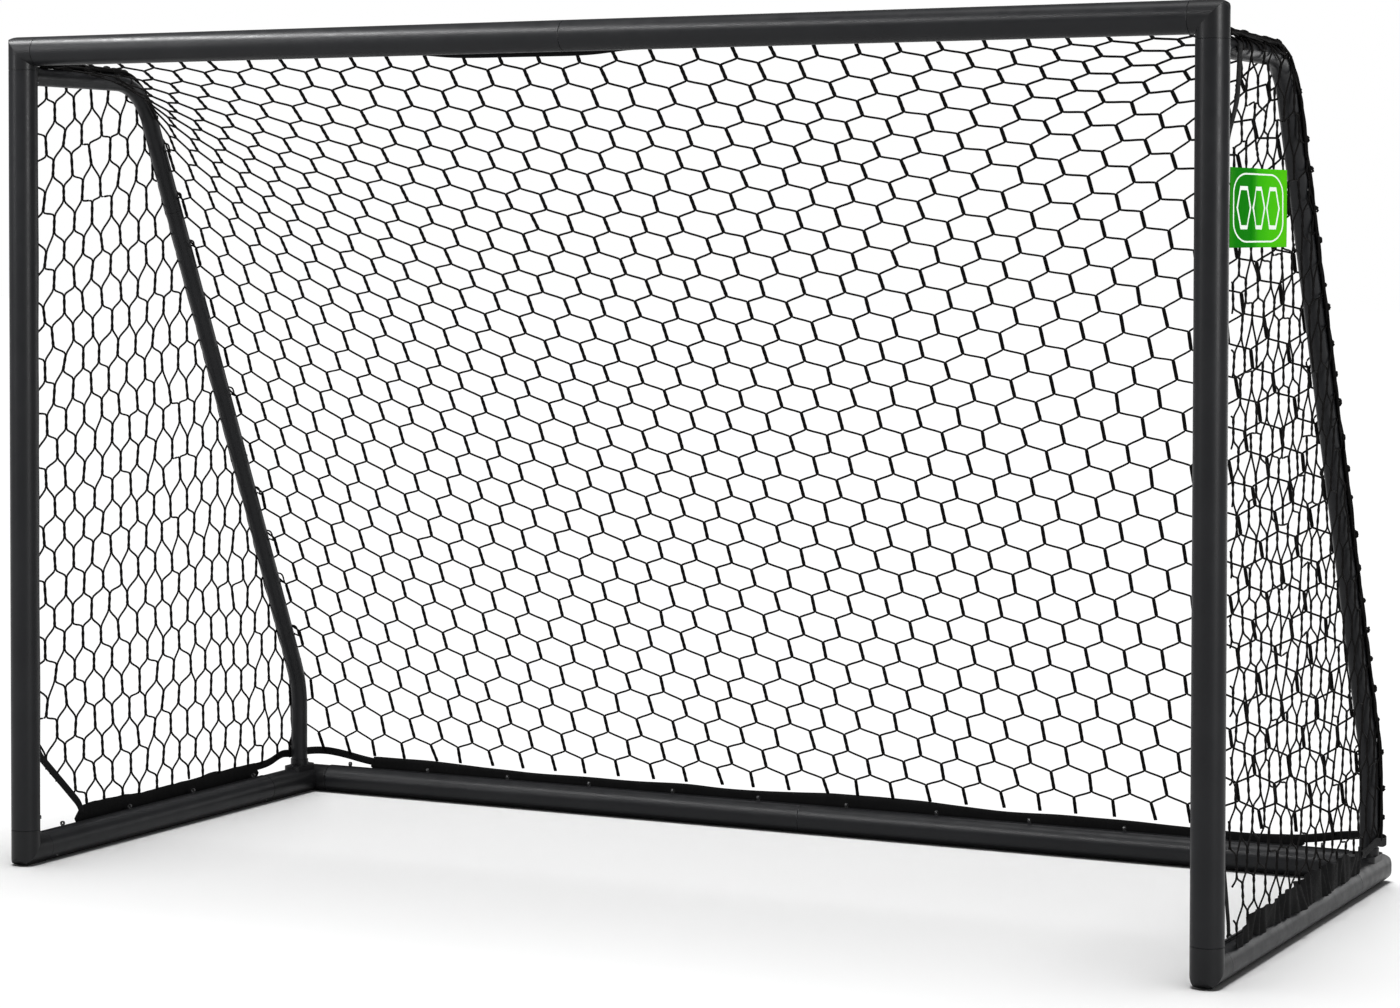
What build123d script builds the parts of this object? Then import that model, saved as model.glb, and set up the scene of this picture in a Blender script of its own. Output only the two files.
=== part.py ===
"""Aluminium soccer goal: slotted round tubes, mitred elbows, bent net supports and a hexagonal net.

Frame: +Z up, origin on the ground under the middle of the goal. The mouth faces -Y, the net's depth
runs to +Y and the crossbar lies along X. Millimetres.
"""
from math import atan2, cos, cosh, pi, radians, sin, sqrt, tan
import os

from build123d import *

# ---- driving dimensions ----
WIDTH = 3000.0
HEIGHT = 2000.0
DEPTH = 1400.0

TUBE_R = 35.0            # main tubes, 70 mm outside
TUBE_WALL = 2.0
FIT_GAP = 0.1            # spigots, joiners and swages inside their tubes
SEAM_GAP = 0.8           # parting line between a tube and its elbow
SEAM_BEVEL = 0.6

CHANNEL_WIDTH = 12.0     # net channel rolled into the main tubes
CHANNEL_DEPTH = 8.0
CHANNEL_SKIN = 1.5
CHANNEL_MOUTH = 5.0
LIP_HEIGHT = 1.5
LIP_WIDTH = 1.6

SPIGOT_WALL = 4.0
SPIGOT_LENGTH = 60.0
KEYWAY = 16.0            # slot in spigots and joiners that clears the channel
JOINER_HALF = 110.0
JOINER_WALL = 2.5

LEG_TOP = 44.0           # elbow legs, corner centre to seam
LEG_BOTTOM = 50.0
LEG_RAIL = 65.0
LEG_UPRIGHT = 245.0      # rear corner's long leg, which carries the upright
LEG_REAR = 62.0
ELBOW_ROUND = 24.0
SOLE_WIDTH = 24.0
SOLE_HEIGHT = 3.0

SUPPORT_R = 21.5         # bent net supports, 43 mm outside
SUPPORT_WALL = 1.5
SUPPORT_Z = 1906.0
SUPPORT_START = 47.0     # post centre to the tube's end on its bracket
SUPPORT_KNEE = 500.0     # post centre to the corner of the upper bend
UPRIGHT_BACK = 1268.0    # post centre to the upright's centre line
UPRIGHT_KNEE_Z = 298.0
UPPER_BEND_R = 165.0
LOWER_BEND_R = 280.0
SUPPORT_SPLIT_Z = 1588.0
SWAGE_LENGTH = 70.0

BRACKET_R = 24.0
BRACKET_FACE = 44.0      # post centre to the inner face that the nut bears on
BRACKET_SPIGOT = 55.0
BOLT_R = 2.4
BOLT_HEAD = 10.0
BOLT_HEAD_THICK = 3.0
NUT_R = 4.6
NUT_THICK = 4.0

PLATE_LENGTH = 100.0     # upright socket
PLATE_WIDTH = 48.0
PLATE_THICK = 4.0
PLATE_CORNER = 18.0
SADDLE_TOP = 72.0
COLLAR_HEIGHT = 16.0
COLLAR_WALL = 2.3
SOCKET_SPIGOT = 66.0
SOCKET_WALL = 2.0
PLATE_SCREW_R = 3.0
PLATE_SCREW_HEAD_R = 5.6
PLATE_SCREW_HEAD = 3.0
PLATE_SCREW_LENGTH = 24.0
PLATE_SCREW_PITCH = 76.0

BUTTON_R = 4.5           # snap buttons
BUTTON_FIT = 0.05
BUTTON_PROUD = 3.0
BUTTON_ROUND = 1.8       # rounded nose
BUTTON_INSET = 40.0      # button to seam
SHOULDER_R = 7.0
SHOULDER_THICK = 1.5
SHOULDER_GAP = 0.4
LEAF_LENGTH = 50.0
LEAF_WIDTH = 9.0
LEAF_THICK = 0.8
LEAF_CORNER = 4.0
LEAF_FOOT_R = 3.0        # raised foot at the leaf's far end

SCREW_R = 2.5            # elbow screws
SCREW_HEAD_R = 4.8
SCREW_HEAD = 2.4
SCREW_HEAD_TAPER = 12.0
SCREW_LENGTH = 10.0
SCREW_INSET = 28.0       # screw to seam

CLIP_FOOT = (14.0, 10.0, 4.0)
CLIP_NECK = (8.0, 4.0, 9.0)
CLIP_RING_R = 5.5
CLIP_EYE_R = 3.3
CLIP_RING_WIDTH = 6.0
CLIP_SLOT = 2.4
CLIP_LOW = 27.0          # tube centre to the underside of the clip's foot
BAR_CLIPS = (-1340.0, 1340.0, 12)    # first place, last place, number
POST_CLIPS = (300.0, 1740.0, 6)
RAIL_CLIPS = (-512.0, 366.0, 4)

NET_THICK = 2.0          # the net's sheet, hem, straps and banner
NET_GAP = 1.0            # soft pieces to each other
NET_REACH = 23.5         # support centre line to the net that lies over it
NET_LAP = 5.9            # how far the back net's edge runs past the support's inner side
NET_STATIONS = (430.0, 860.0, 1180.0)   # sections of the sagging back net, from the middle
NET_SIDE_X = 1491.5
NET_TOP = (-620.0, 1944.0)
NET_FOOT = (690.0, 107.0)
NET_FRONT_Y = -592.0
HEM_LOW = 60.0
HEM_HIGH = 106.0
HEM_THICK = 3.0
HEM_FRONT_Y = {-1: -415.0, 1: -555.0}   # the right hem reaches nearer to its post
HEM_REAR_X = 1425.0
STRAP_WIDTH = 20.0
STRAP_THICK = 3.0
STRAP_X = 1476.0
STRAP_TURN_Z = 260.0     # the edge strap leaves the post for the hem
BANNER_LENGTH = 412.0
BANNER_HEIGHT = 163.0
BANNER_THICK = 1.5
BANNER_FRONT_Y = -641.0
BANNER_LOW_Z = 1500.0

# ---- places worked out from them ----
POST_X = WIDTH / 2 - TUBE_R
FRONT_Y = -DEPTH / 2 + TUBE_R
REAR_Y = DEPTH / 2 - TUBE_R
BAR_Z = HEIGHT - TUBE_R
RAIL_Z = TUBE_R
UPRIGHT_Y = FRONT_Y + UPRIGHT_BACK
SPIGOT_R = TUBE_R - TUBE_WALL - FIT_GAP
SPIGOT_BORE = SPIGOT_R - SPIGOT_WALL
JOINER_BORE = SPIGOT_R - JOINER_WALL
SWAGE_R = SUPPORT_R - SUPPORT_WALL - FIT_GAP
PLATE_TOP = SADDLE_TOP + PLATE_THICK
SLOPE = atan2(UPRIGHT_BACK - SUPPORT_KNEE, SUPPORT_Z - UPRIGHT_KNEE_Z)   # from the vertical
HOLE_BUTTON = BUTTON_R + BUTTON_FIT
HOLE_SCREW = SCREW_R + FIT_GAP

SIDES = (("left", -1), ("right", 1))
BACK = (0, 1, 0)
UP = (0, 0, 1)
LOW_BACK = (0, 1, -1)

os.makedirs("parts", exist_ok=True)
elbow_screws = []        # (point on the tube's axis, outward direction)
buttons = []             # (name, point on the axis, outward, along, tube radius, bore inside the sleeve)


def save(piece, name):
    """Label one finished piece and write its STEP file."""
    piece.part.label = name
    export_step(piece.part, f"parts/{name}.step")


def frame_at(origin, along, up):
    """Plane at origin whose normal runs along a tube and whose local Y points towards up."""
    normal = Vector(*along)
    return Plane(origin=origin, x_dir=Vector(*up).cross(normal), z_dir=normal)


def drill(origin, outward, radius, depth):
    """Cut a round hole from a tube's axis out through its wall."""
    with BuildSketch(Plane(origin=origin, z_dir=outward)) as hole:
        Circle(radius)
    extrude(hole.sketch, amount=depth, mode=Mode.SUBTRACT)


def ring(plane, outside, inside):
    """A ring sketched on a plane."""
    with BuildSketch(plane) as profile:
        Circle(outside)
        Circle(inside, mode=Mode.SUBTRACT)
    return profile.sketch


# ---- main tubes ----
def slotted_tube(start, along, up, length, holes):
    """Round tube with its net channel on the up side; holes are (distance, outward, radius)."""
    base = frame_at(start, along, up)
    with BuildPart() as tube:
        extrude(ring(base, TUBE_R, TUBE_R - TUBE_WALL), amount=length)
        chamfer(tube.edges().filter_by(GeomType.CIRCLE).group_by(SortBy.RADIUS)[-1], SEAM_BEVEL)
        housing_depth = CHANNEL_DEPTH + CHANNEL_SKIN
        lip_x = CHANNEL_MOUTH / 2 + LIP_WIDTH / 2
        with BuildSketch(base):
            with Locations((0, TUBE_R - TUBE_WALL / 2 - housing_depth / 2)):
                Rectangle(CHANNEL_WIDTH + 2 * CHANNEL_SKIN, housing_depth)
            with Locations((-lip_x, TUBE_R), (lip_x, TUBE_R)):
                Rectangle(LIP_WIDTH, 2 * LIP_HEIGHT)
        extrude(amount=length)
        with BuildSketch(base):
            with Locations((0, TUBE_R - TUBE_WALL - CHANNEL_DEPTH / 2)):
                Rectangle(CHANNEL_WIDTH, CHANNEL_DEPTH)
            with Locations((0, TUBE_R)):
                Rectangle(CHANNEL_MOUTH, 4 * TUBE_WALL)
        extrude(amount=length, mode=Mode.SUBTRACT)
        for distance, outward, radius in holes:
            drill(base.origin + base.z_dir * distance, outward, radius, 2 * TUBE_R)
    return tube


def joiner(centre, along, up, outward):
    """Inner sleeve across a mid-bar seam, slotted to clear the net channel."""
    base = frame_at(Vector(*centre) - Vector(*along) * JOINER_HALF, along, up)
    with BuildPart() as sleeve:
        with BuildSketch(base):
            Circle(SPIGOT_R)
            Circle(JOINER_BORE, mode=Mode.SUBTRACT)
            with Locations((0, SPIGOT_R)):
                Rectangle(KEYWAY, 2 * SPIGOT_R, mode=Mode.SUBTRACT)
        extrude(amount=2 * JOINER_HALF)
        for sign in (-1, 1):
            distance = JOINER_HALF + sign * (BUTTON_INSET + SEAM_GAP / 2)
            drill(base.origin + base.z_dir * distance, outward, HOLE_BUTTON, 2 * TUBE_R)
    return sleeve


def bar(name, axis_y, axis_z, up, leg, outward):
    """A bar along X in two halves, with their joiner, snap buttons and elbow screws."""
    length = POST_X - leg - 1.5 * SEAM_GAP
    for side, sign in SIDES:
        start = Vector(sign * SEAM_GAP / 2, axis_y, axis_z)
        along = Vector(sign, 0, 0)
        screw_at = length - SCREW_INSET
        holes = [(BUTTON_INSET, outward, HOLE_BUTTON), (screw_at, outward, HOLE_SCREW)]
        save(slotted_tube(start, along, up, length, holes), f"{name}_{side}")
        buttons.append((f"{name}_{side}", start + along * BUTTON_INSET, outward, along, TUBE_R,
                        JOINER_BORE))
        elbow_screws.append((start + along * screw_at, outward))
    save(joiner((0, axis_y, axis_z), (1, 0, 0), up, outward), f"{name}_joiner")


bar("crossbar", FRONT_Y, BAR_Z, BACK, LEG_TOP, LOW_BACK)
bar("rear_rail", REAR_Y, RAIL_Z, UP, LEG_REAR, LOW_BACK)

post_length = BAR_Z - RAIL_Z - LEG_TOP - LEG_BOTTOM - 2 * SEAM_GAP
rail_length = REAR_Y - FRONT_Y - LEG_RAIL - LEG_UPRIGHT - 2 * SEAM_GAP
for side, sign in SIDES:
    inner_back = (-sign, 1, 0)
    inner_low = (-sign, 0, -1)
    for name, start, along, up, length, outward in (
        ("post", (sign * POST_X, FRONT_Y, RAIL_Z + LEG_BOTTOM + SEAM_GAP), UP, BACK, post_length,
         inner_back),
        ("side_rail", (sign * POST_X, FRONT_Y + LEG_RAIL + SEAM_GAP, RAIL_Z), BACK, UP, rail_length,
         inner_low),
    ):
        screw_places = (SCREW_INSET, length - SCREW_INSET)
        holes = [(place, outward, HOLE_SCREW) for place in screw_places]
        save(slotted_tube(start, along, up, length, holes), f"{name}_{side}")
        for place in screw_places:
            elbow_screws.append((Vector(*start) + Vector(*along) * place, outward))


# ---- elbows and rear corners ----
def elbow(corner, arms, sole=None, saddle=None):
    """Mitred elbow with two spigots; arms are (direction, leg, channel side, screw direction).

    sole is (centre, length along Y) of the flat it stands on, and saddle is the centre of the
    boss that carries the upright's socket.
    """
    centre = Vector(*corner)
    directions = [Vector(*arm[0]) for arm in arms]
    seams = [centre + direction * arm[1] for direction, arm in zip(directions, arms)]
    tips = [seam + direction * (SEAM_GAP + SPIGOT_LENGTH) for seam, direction in zip(seams, directions)]
    flat = Plane(origin=centre, x_dir=directions[0], z_dir=directions[0].cross(directions[1]))
    reach = max(arms[0][1], arms[1][1])
    with BuildPart() as body:
        with BuildLine():
            Polyline(seams[0], centre, seams[1])
        with BuildSketch(Plane(origin=seams[0], z_dir=-directions[0])):
            Circle(TUBE_R)
        sweep(transition=Transition.RIGHT)
        with BuildSketch(flat):
            with Locations((-TUBE_R, -TUBE_R)):
                outline = Rectangle(reach + 2 * TUBE_R, reach + 2 * TUBE_R, align=(Align.MIN, Align.MIN))
            fillet(outline.vertices().sort_by(lambda v: v.X + v.Y)[0], ELBOW_ROUND)
        extrude(amount=2 * TUBE_R, both=True, mode=Mode.INTERSECT)
        if sole:
            (sole_x, sole_y), sole_length = sole
            with BuildSketch():
                with Locations((sole_x, sole_y)):
                    Rectangle(SOLE_WIDTH, sole_length)
            extrude(amount=SOLE_HEIGHT)
        if saddle:
            with BuildSketch(Plane.XY.offset(RAIL_Z)):
                with Locations(saddle):
                    RectangleRounded(PLATE_WIDTH, PLATE_LENGTH, PLATE_CORNER)
            extrude(amount=SADDLE_TOP - RAIL_Z)
            with BuildSketch(Plane.XY.offset(RAIL_Z)):
                with Locations(saddle):
                    with GridLocations(0, PLATE_SCREW_PITCH, 1, 2):
                        Circle(PLATE_SCREW_R + FIT_GAP)
            extrude(amount=SADDLE_TOP, mode=Mode.SUBTRACT)
        keyway_depth = SPIGOT_R - TUBE_R + TUBE_WALL + CHANNEL_DEPTH + 2 * CHANNEL_SKIN
        for seam, (along, _, up, _) in zip(seams, arms):
            with BuildSketch(frame_at(seam, along, up)):
                Circle(SPIGOT_R)
                with Locations((0, SPIGOT_R)):
                    Rectangle(KEYWAY, 2 * keyway_depth, mode=Mode.SUBTRACT)
            extrude(amount=SEAM_GAP + SPIGOT_LENGTH)
        with BuildLine():
            Polyline(tips[0], centre, tips[1])
        with BuildSketch(Plane(origin=tips[0], z_dir=-directions[0])):
            Circle(SPIGOT_BORE)
        sweep(transition=Transition.RIGHT, mode=Mode.SUBTRACT)
        for seam, direction, arm in zip(seams, directions, arms):
            drill(seam + direction * (SEAM_GAP + SCREW_INSET), arm[3], HOLE_SCREW, TUBE_R)
    return body


for side, sign in SIDES:
    across = (-sign, 0, 0)
    inner_back = (-sign, 1, 0)
    inner_low = (-sign, 0, -1)
    top = elbow((sign * POST_X, FRONT_Y, BAR_Z),
                [(across, LEG_TOP, BACK, LOW_BACK), ((0, 0, -1), LEG_TOP, BACK, inner_back)])
    save(top, f"top_elbow_{side}")
    sole_length = LEG_RAIL + TUBE_R - ELBOW_ROUND
    sole_y = FRONT_Y + LEG_RAIL - sole_length / 2
    bottom = elbow((sign * POST_X, FRONT_Y, RAIL_Z),
                   [(BACK, LEG_RAIL, UP, inner_low), (UP, LEG_BOTTOM, BACK, inner_back)],
                   sole=((sign * POST_X, sole_y), sole_length))
    save(bottom, f"bottom_elbow_{side}")
    corner = elbow((sign * POST_X, REAR_Y, RAIL_Z),
                   [((0, -1, 0), LEG_UPRIGHT, UP, inner_low), (across, LEG_REAR, UP, LOW_BACK)],
                   sole=((sign * POST_X, REAR_Y - LEG_UPRIGHT / 2), LEG_UPRIGHT),
                   saddle=(sign * POST_X, UPRIGHT_Y))
    save(corner, f"rear_corner_{side}")


# ---- bent net supports ----
def on_slope(height):
    """Y of the sloping run's centre line at a height."""
    return FRONT_Y + SUPPORT_KNEE + (SUPPORT_Z - height) * tan(SLOPE)


slope_down = Vector(0, sin(SLOPE), -cos(SLOPE))
split_y = on_slope(SUPPORT_SPLIT_Z)

for side, sign in SIDES:
    axis_x = sign * POST_X
    split = Vector(axis_x, split_y, SUPPORT_SPLIT_Z)
    outward = (sign, 0, 0)
    button_at = split - slope_down * BUTTON_INSET
    start = Vector(axis_x, FRONT_Y + SUPPORT_START, SUPPORT_Z)
    with BuildPart() as upper:
        with BuildLine():
            FilletPolyline(start, (axis_x, FRONT_Y + SUPPORT_KNEE, SUPPORT_Z), split, radius=UPPER_BEND_R)
        sweep(ring(Plane(origin=start, z_dir=BACK), SUPPORT_R, SUPPORT_R - SUPPORT_WALL))
        drill(button_at, outward, HOLE_BUTTON, 2 * SUPPORT_R)
    save(upper, f"support_upper_{side}")

    seam = split + slope_down * SEAM_GAP
    foot = Vector(axis_x, UPRIGHT_Y, PLATE_TOP + FIT_GAP)
    with BuildPart() as lower:
        with BuildLine():
            FilletPolyline(seam, (axis_x, UPRIGHT_Y, UPRIGHT_KNEE_Z), foot, radius=LOWER_BEND_R)
        sweep(ring(Plane(origin=seam, z_dir=slope_down), SUPPORT_R, SUPPORT_R - SUPPORT_WALL))
        shoulder = ring(Plane(origin=seam, z_dir=slope_down), SUPPORT_R - SUPPORT_WALL / 2,
                        SWAGE_R - SUPPORT_WALL)
        extrude(shoulder, amount=2 * SUPPORT_WALL)
        swage = ring(Plane(origin=seam, z_dir=-slope_down), SWAGE_R, SWAGE_R - SUPPORT_WALL)
        extrude(swage, amount=SWAGE_LENGTH)
        drill(button_at, outward, HOLE_BUTTON, 2 * SUPPORT_R)
        upright_button = Vector(axis_x, UPRIGHT_Y, PLATE_TOP + BUTTON_INSET)
        drill(upright_button, BACK, HOLE_BUTTON, 2 * SUPPORT_R)
    save(lower, f"support_lower_{side}")
    buttons.append((f"support_{side}", button_at, outward, slope_down, SUPPORT_R, SWAGE_R - SUPPORT_WALL))
    buttons.append((f"upright_{side}", upright_button, BACK, UP, SUPPORT_R, SWAGE_R - SOCKET_WALL))

    with BuildPart() as bracket:
        with BuildSketch(Plane(origin=(axis_x, FRONT_Y, SUPPORT_Z), z_dir=BACK)):
            Circle(BRACKET_R)
        extrude(amount=SUPPORT_START)
        with BuildSketch(Plane.XY.offset(SUPPORT_Z)):
            with Locations((axis_x, FRONT_Y)):
                Circle(TUBE_R + FIT_GAP)
                Rectangle(2 * (CHANNEL_MOUTH / 2 + LIP_WIDTH + FIT_GAP), 2 * (TUBE_R + LIP_HEIGHT + FIT_GAP))
        extrude(amount=2 * BRACKET_R, both=True, mode=Mode.SUBTRACT)
        with BuildSketch(Plane(origin=(axis_x, FRONT_Y + SUPPORT_START, SUPPORT_Z), z_dir=BACK)):
            Circle(SWAGE_R)
        extrude(amount=BRACKET_SPIGOT)
        with BuildSketch(Plane(origin=(axis_x, FRONT_Y + BRACKET_FACE, SUPPORT_Z), z_dir=BACK)):
            Circle(SWAGE_R - SOCKET_WALL)
        extrude(amount=2 * BRACKET_SPIGOT, mode=Mode.SUBTRACT)
        drill((axis_x, FRONT_Y, SUPPORT_Z), BACK, BOLT_R + FIT_GAP, 2 * TUBE_R)
    save(bracket, f"support_bracket_{side}")

    with BuildPart() as socket:
        with BuildSketch(Plane.XY.offset(SADDLE_TOP)):
            with Locations((axis_x, UPRIGHT_Y)):
                RectangleRounded(PLATE_WIDTH, PLATE_LENGTH, PLATE_CORNER)
        extrude(amount=PLATE_THICK)
        for outside, inside, height in (
            (SUPPORT_R + FIT_GAP + COLLAR_WALL, SUPPORT_R + FIT_GAP, COLLAR_HEIGHT),
            (SWAGE_R, SWAGE_R - SOCKET_WALL, SOCKET_SPIGOT),
        ):
            extrude(ring(Plane(origin=(axis_x, UPRIGHT_Y, PLATE_TOP)), outside, inside), amount=height)
        with BuildSketch(Plane.XY.offset(SADDLE_TOP)):
            with Locations((axis_x, UPRIGHT_Y)):
                with GridLocations(0, PLATE_SCREW_PITCH, 1, 2):
                    Circle(PLATE_SCREW_R + FIT_GAP)
        extrude(amount=PLATE_THICK, mode=Mode.SUBTRACT)
        drill(upright_button, BACK, HOLE_BUTTON, SUPPORT_R - FIT_GAP)
    save(socket, f"upright_socket_{side}")


# ---- snap buttons and their leaf springs ----
for name, point, outward, along, tube_r, bore_r in buttons:
    out_plane = frame_at(point, outward, along)
    shoulder_top = sqrt(bore_r ** 2 - SHOULDER_R ** 2) - SHOULDER_GAP
    tip = tube_r + BUTTON_PROUD
    with BuildPart() as button:
        with BuildSketch(out_plane.offset(shoulder_top)):
            Circle(BUTTON_R)
        extrude(amount=tip - shoulder_top)
        fillet(button.faces().sort_by(Axis(point, outward))[-1].edges(), BUTTON_ROUND)
        with BuildSketch(out_plane.offset(shoulder_top - SHOULDER_THICK)):
            Circle(SHOULDER_R)
        extrude(amount=SHOULDER_THICK)
    save(button, f"{name}_button")
    leaf_top = shoulder_top - SHOULDER_THICK
    with BuildPart() as leaf:
        with BuildSketch(out_plane.offset(leaf_top - LEAF_THICK)):
            with Locations((0, LEAF_LENGTH / 2 - SHOULDER_R)):
                RectangleRounded(LEAF_WIDTH, LEAF_LENGTH, LEAF_CORNER)
        extrude(amount=LEAF_THICK)
        with BuildSketch(out_plane.offset(leaf_top - LEAF_THICK)):
            with Locations((0, LEAF_LENGTH - SHOULDER_R - LEAF_WIDTH / 2)):
                Circle(LEAF_FOOT_R)
        extrude(amount=LEAF_THICK + SHOULDER_THICK)
    save(leaf, f"{name}_spring")

# ---- screws, bolts and nuts ----
with BuildPart() as screws:
    for point, outward in elbow_screws:
        plane = Plane(origin=point, z_dir=outward)
        with BuildSketch(plane.offset(TUBE_R - SCREW_LENGTH)):
            Circle(SCREW_R)
        extrude(amount=SCREW_LENGTH)
        with BuildSketch(plane.offset(TUBE_R)):
            Circle(SCREW_HEAD_R)
        extrude(amount=SCREW_HEAD, taper=SCREW_HEAD_TAPER)
save(screws, "elbow_screws")

with BuildPart() as plate_screws:
    for _, sign in SIDES:
        for radius, low, high in (
            (PLATE_SCREW_R, PLATE_TOP - PLATE_SCREW_LENGTH, PLATE_TOP),
            (PLATE_SCREW_HEAD_R, PLATE_TOP, PLATE_TOP + PLATE_SCREW_HEAD),
        ):
            with BuildSketch(Plane.XY.offset(low)):
                with Locations((sign * POST_X, UPRIGHT_Y)):
                    with GridLocations(0, PLATE_SCREW_PITCH, 1, 2):
                        Circle(radius)
            extrude(amount=high - low)
save(plate_screws, "socket_screws")

head_at = FRONT_Y + TUBE_R - TUBE_WALL - CHANNEL_DEPTH / 2
with BuildPart() as bolts:
    for _, sign in SIDES:
        plane = Plane(origin=(sign * POST_X, head_at, SUPPORT_Z), z_dir=BACK)
        with BuildSketch(plane):
            Rectangle(BOLT_HEAD, BOLT_HEAD)
        extrude(amount=BOLT_HEAD_THICK)
        with BuildSketch(plane):
            Circle(BOLT_R)
        extrude(amount=FRONT_Y + BRACKET_FACE + NUT_THICK + BOLT_R - head_at)
save(bolts, "bracket_bolts")

with BuildPart() as nuts:
    for _, sign in SIDES:
        with BuildSketch(Plane(origin=(sign * POST_X, FRONT_Y + BRACKET_FACE, SUPPORT_Z), z_dir=BACK)):
            RegularPolygon(NUT_R, 6)
            Circle(BOLT_R + BUTTON_FIT, mode=Mode.SUBTRACT)
        extrude(amount=NUT_THICK)
save(nuts, "bracket_nuts")


# ---- net clips ----
def clips(places, along, up, name):
    """Snap clips in a tube's channel; their slotted eyes hold the net's edge."""
    planes = [Plane(origin=place, x_dir=along, z_dir=up) for place in places]
    neck_low = CLIP_LOW + CLIP_FOOT[2]
    eye_z = neck_low + CLIP_NECK[2] + CLIP_EYE_R
    with BuildPart() as group:
        for plane in planes:
            with BuildSketch(plane.offset(CLIP_LOW)):
                Rectangle(CLIP_FOOT[0], CLIP_FOOT[1])
            extrude(amount=CLIP_FOOT[2])
            with BuildSketch(plane.offset(neck_low)):
                Rectangle(CLIP_NECK[0], CLIP_NECK[1])
            extrude(amount=CLIP_NECK[2])
            eye = Plane(origin=plane.origin + plane.z_dir * eye_z, x_dir=plane.y_dir, z_dir=plane.x_dir)
            with BuildSketch(eye):
                Circle(CLIP_RING_R)
                Circle(CLIP_EYE_R, mode=Mode.SUBTRACT)
                with Locations((0, CLIP_RING_R)):
                    Rectangle(CLIP_SLOT, CLIP_RING_R, mode=Mode.SUBTRACT)
            extrude(amount=CLIP_RING_WIDTH / 2, both=True)
    save(group, name)


def spaced(low, high, count):
    """Evenly spaced places from low to high."""
    return [low + (high - low) * i / (count - 1) for i in range(count)]


bar_spots = spaced(*BAR_CLIPS)
clips([(x, FRONT_Y, BAR_Z) for x in bar_spots], (1, 0, 0), BACK, "crossbar_clips")
clips([(x, REAR_Y, RAIL_Z) for x in bar_spots], (1, 0, 0), UP, "rear_rail_clips")
clips([(sign * POST_X, FRONT_Y, z) for _, sign in SIDES for z in spaced(*POST_CLIPS)], UP, BACK,
      "post_clips")
clips([(sign * POST_X, y, RAIL_Z) for _, sign in SIDES for y in spaced(*RAIL_CLIPS)], BACK, UP,
      "side_rail_clips")


# ---- net, hems, straps and banner ----
def outer_path(reach, bend_steps=4):
    """Points (y, z) of the net's path over a support, from the crossbar to the rear hem."""
    knee_y = FRONT_Y + SUPPORT_KNEE
    turn = pi / 2 - SLOPE
    tangent = UPPER_BEND_R * tan(turn / 2)
    centre = (knee_y - tangent, SUPPORT_Z - UPPER_BEND_R)
    radius = (UPPER_BEND_R + reach) / cos(turn / bend_steps / 2)      # facets clear the round bend
    points = [(NET_TOP[0] + reach, SUPPORT_Z + reach)]
    for step in range(bend_steps + 1):
        angle = turn * step / bend_steps
        points.append((centre[0] + radius * sin(angle), centre[1] + radius * cos(angle)))
    points.append((UPRIGHT_Y + reach, UPRIGHT_KNEE_Z + reach * tan(SLOPE / 2)))
    return points


def thicken(points, thick):
    """Closed outline of a thin sheet whose mid-line is the points."""
    sides = ([], [])
    for index, (y, z) in enumerate(points):
        before = points[max(index - 1, 0)]
        after = points[min(index + 1, len(points) - 1)]
        run = Vector(after[0] - before[0], after[1] - before[1]).normalized()
        for offset, outline in zip((thick / 2, -thick / 2), sides):
            outline.append((y - run.Y * offset, z + run.X * offset))
    return sides[0] + sides[1][::-1]


side_path = [NET_TOP] + outer_path(NET_REACH) + [NET_FOOT]
lengths = [0.0]
for (y0, z0), (y1, z1) in zip(side_path, side_path[1:]):
    lengths.append(lengths[-1] + sqrt((y1 - y0) ** 2 + (z1 - z0) ** 2))
chord = [(NET_TOP[0] + (NET_FOOT[0] - NET_TOP[0]) * s / lengths[-1],
          NET_TOP[1] + (NET_FOOT[1] - NET_TOP[1]) * s / lengths[-1]) for s in lengths]
over_tube = POST_X - SUPPORT_R - NET_LAP
decay = pi / lengths[-1]


def bulge(x):
    """How far the back net follows the supports: all the way over them, less towards the middle."""
    return cosh(decay * min(abs(x), over_tube)) / cosh(decay * over_tube)


with BuildPart() as net_back:
    half = [*NET_STATIONS, over_tube, NET_SIDE_X - NET_THICK]
    for x in [-place for place in half[::-1]] + [0] + half:
        blend = bulge(x)
        middle = [(cy + (sy - cy) * blend, cz + (sz - cz) * blend)
                  for (cy, cz), (sy, sz) in zip(chord, side_path)]
        with BuildSketch(Plane.YZ.offset(x)):
            with BuildLine():
                Polyline(*thicken(middle, NET_THICK), close=True)
            make_face()
    loft(ruled=True)
save(net_back, "net_back")

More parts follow.
